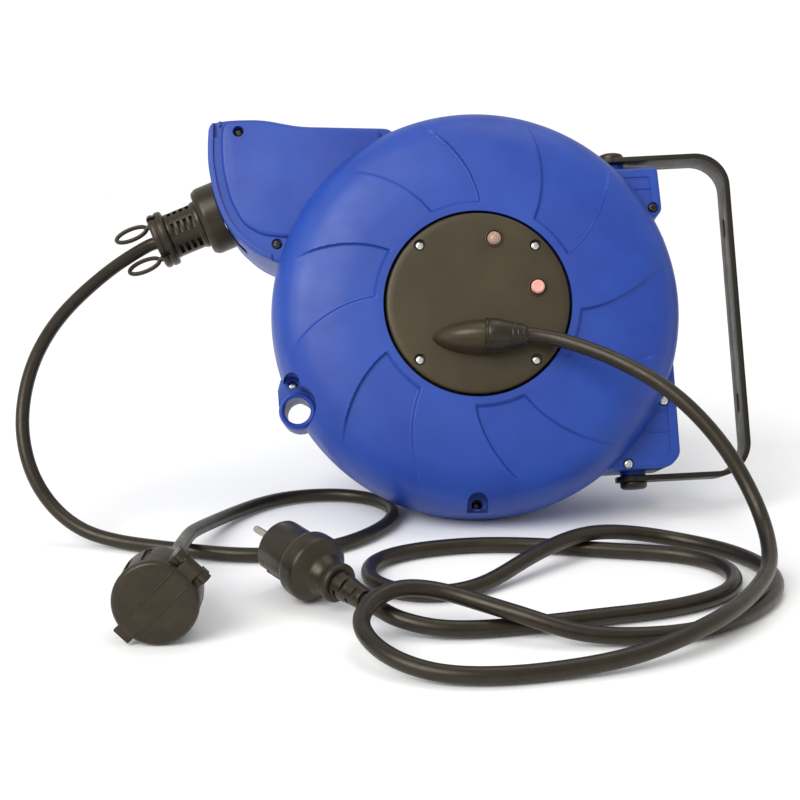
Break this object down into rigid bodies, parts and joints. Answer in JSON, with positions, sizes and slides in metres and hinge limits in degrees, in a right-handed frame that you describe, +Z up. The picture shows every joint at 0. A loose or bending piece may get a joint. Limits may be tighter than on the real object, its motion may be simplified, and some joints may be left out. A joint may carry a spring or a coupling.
{
  "type": "extension cord reel",
  "caption": "Spring-driven extension cord reel: round blue drum housing with cable outlet wing, swivel wall bracket, mains lead with plug and pull-out cable with lidded socket.",
  "frame": {"origin": "on the floor, at the middle of the footprint of everything but the two cords and what hangs on their ends", "axes": "+Z up, +X towards the wall bracket, -Y towards the round front face that leans back over +Y"},
  "size_m": [0.5385, 0.4761, 0.2964],
  "materials": {
    "blue_shell": "fine-textured blue moulding",
    "screw_steel": "bright zinc plate",
    "black_cover": "satin black moulding",
    "boot_rubber": "soft black rubber",
    "lead_jacket": "black rubber jacket, slight sheen",
    "cable_jacket": "black rubber jacket, slight sheen",
    "indicator_lens": "clear amber lens",
    "reset_button": "salmon pink",
    "inner_plastic": "black nylon",
    "brush_holder": "brown phenolic",
    "carbon": "carbon",
    "brass": "turned",
    "plated_pin": "nickel plate",
    "zinc_steel": "zinc plated",
    "spring_steel": "blued",
    "roller_nylon": "natural nylon",
    "bracket_paint": "black powder coat",
    "pivot_cap": "black",
    "stop_rubber": "black rubber",
    "connector_rubber": "black thermoplastic rubber"
  },
  "bodies": {
    "housing": {"axle": "zinc_steel", "axle_nut": "zinc_steel", "breaker_body": "inner_plastic", "brush_1": "carbon", "brush_2": "carbon", "brush_3": "carbon", "brush_block": "brush_holder", "cable_inner_run": "cable_jacket", "cover_screw_1": "screw_steel", "cover_screw_2": "screw_steel", "cover_screw_3": "screw_steel", "cover_screw_4": "screw_steel", "earth_clip_1": "brass", "earth_clip_2": "brass", "front_shell": "blue_shell", "indicator_lens": "indicator_lens", "input_cord": "lead_jacket", "lead_boot": "boot_rubber", "lid_hinge_pin": "zinc_steel", "output_cord": "cable_jacket", "pawl_pin": "zinc_steel", "pivot_bolt_1": "pivot_cap", "pivot_bolt_2": "pivot_cap", "plug_body": "connector_rubber", "plug_pin_1": "plated_pin", "plug_pin_2": "plated_pin", "plug_strain_relief": "boot_rubber", "power_spring": "spring_steel", "rear_shell": "blue_shell", "roller_pin_1": "zinc_steel", "roller_pin_2": "zinc_steel", "shell_screw_1": "screw_steel", "shell_screw_2": "screw_steel", "shell_screw_3": "screw_steel", "shell_screw_4": "screw_steel", "shell_screw_5": "screw_steel", "shell_screw_6": "screw_steel", "shell_screw_7": "screw_steel", "shell_screw_8": "screw_steel", "slip_ring_cover": "black_cover", "socket_body": "connector_rubber", "socket_insert": "connector_rubber", "stop_body": "stop_rubber", "stop_buffer": "stop_rubber", "stop_collar": "stop_rubber", "stop_loop_1": "stop_rubber", "stop_loop_2": "stop_rubber"},
    "spool": {"spool": "inner_plastic", "wound_cable": "cable_jacket", "slip_ring_1": "brass", "slip_ring_2": "brass", "slip_ring_3": "brass", "ratchet_wheel": "zinc_steel", "spring_case": "zinc_steel"},
    "reset_button": {"reset_button": "reset_button"},
    "pawl": {"pawl": "zinc_steel"},
    "guide_roller_1": {"guide_roller_1": "roller_nylon"},
    "guide_roller_2": {"guide_roller_2": "roller_nylon"},
    "bracket": {"wall_bracket": "bracket_paint"},
    "lid": {"socket_lid": "connector_rubber"}
  },
  "joints": [
    {"name": "spool_spin", "type": "hinge", "parent": "housing", "child": "spool", "pos_m": [0.0362, -0.00921, 0.14379], "axis": [0, 0.9398, -0.3417], "continuous": true},
    {"name": "reset_press", "type": "slide", "parent": "housing", "child": "reset_button", "axis": [0, 0.9398, -0.3417], "range_m": [0, 0.003], "stiffness_N_per_m": 500},
    {"name": "pawl_lift", "type": "hinge", "parent": "housing", "child": "pawl", "pos_m": [0.08982, 0.04281, 0.17275], "axis": [0, -0.9398, 0.3417], "range_deg": [0, 12], "stiffness_Nm_per_rad": 0.05},
    {"name": "guide_roller_1_spin", "type": "hinge", "parent": "housing", "child": "guide_roller_1", "pos_m": [-0.14439, 0.03404, 0.23346], "axis": [0, 0.9398, -0.3417], "continuous": true},
    {"name": "guide_roller_2_spin", "type": "hinge", "parent": "housing", "child": "guide_roller_2", "pos_m": [-0.13521, 0.02675, 0.21344], "axis": [0, 0.9398, -0.3417], "continuous": true},
    {"name": "bracket_swivel", "type": "hinge", "parent": "housing", "child": "bracket", "pos_m": [0.15004, 0.00222, 0.14598], "axis": [-0.0523, 0.3413, 0.9385], "range_deg": [-70, 45]},
    {"name": "lid_open", "type": "hinge", "parent": "housing", "child": "lid", "pos_m": [-0.14088, -0.3058, 0.04832], "axis": [-0.7071, 0, 0.7071], "range_deg": [0, 110], "stiffness_Nm_per_rad": 0.02, "springref_deg": -28.65}
  ]
}
